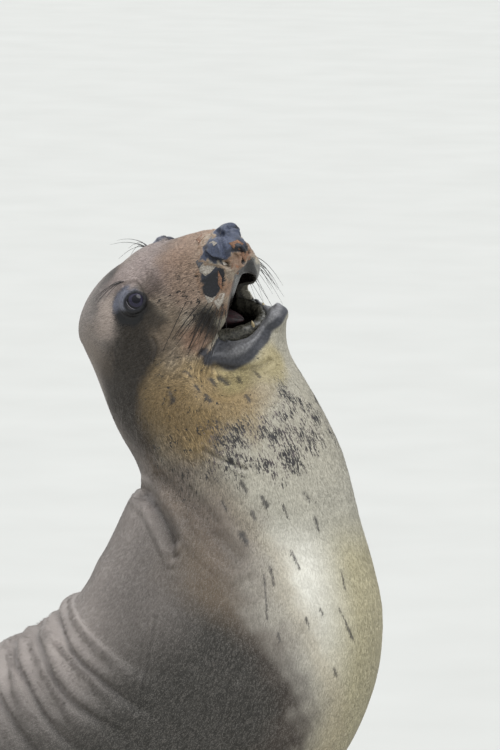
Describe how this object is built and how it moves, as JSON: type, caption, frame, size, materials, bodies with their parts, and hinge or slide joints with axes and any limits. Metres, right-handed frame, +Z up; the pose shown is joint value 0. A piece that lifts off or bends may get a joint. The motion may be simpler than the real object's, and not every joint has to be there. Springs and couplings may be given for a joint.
{
  "type": "elephant seal",
  "caption": "Young elephant seal rearing up with its head back and mouth open, resting on belly and foreflippers; a still life-size model.",
  "frame": {"origin": "middle of the bounding box, on the floor under the belly", "axes": "+X towards the chest and nose along the length of the body, +Z up, the animal's right side is -Y"},
  "size_m": [1.8076, 1.1834, 1.1914],
  "materials": {
    "coat_face": "short moulting fur, grey-brown to tan, dull",
    "skin_jaw": "bare grey lip skin, slightly damp",
    "mouth": "wet dark red",
    "coat_neck": "short fur, ochre and brown, dull",
    "coat_chest": "short cream fur with grey mottling, dull",
    "coat_back": "short sandy brown fur, dull",
    "eye": "wet, nearly black",
    "skin_flipper": "dark short-furred skin with black claws"
  },
  "bodies": {
    "root": {"head": "coat_face", "lower_jaw": "skin_jaw", "tongue": "mouth", "neck": "coat_neck", "chest": "coat_chest", "torso": "coat_back", "hips": "coat_back", "tail": "coat_back", "eye_right": "eye", "eye_left": "eye", "foreflipper_right": "skin_flipper", "foreflipper_left": "skin_flipper", "hindflipper_right": "skin_flipper", "hindflipper_left": "skin_flipper"}
  },
  "joints": []
}
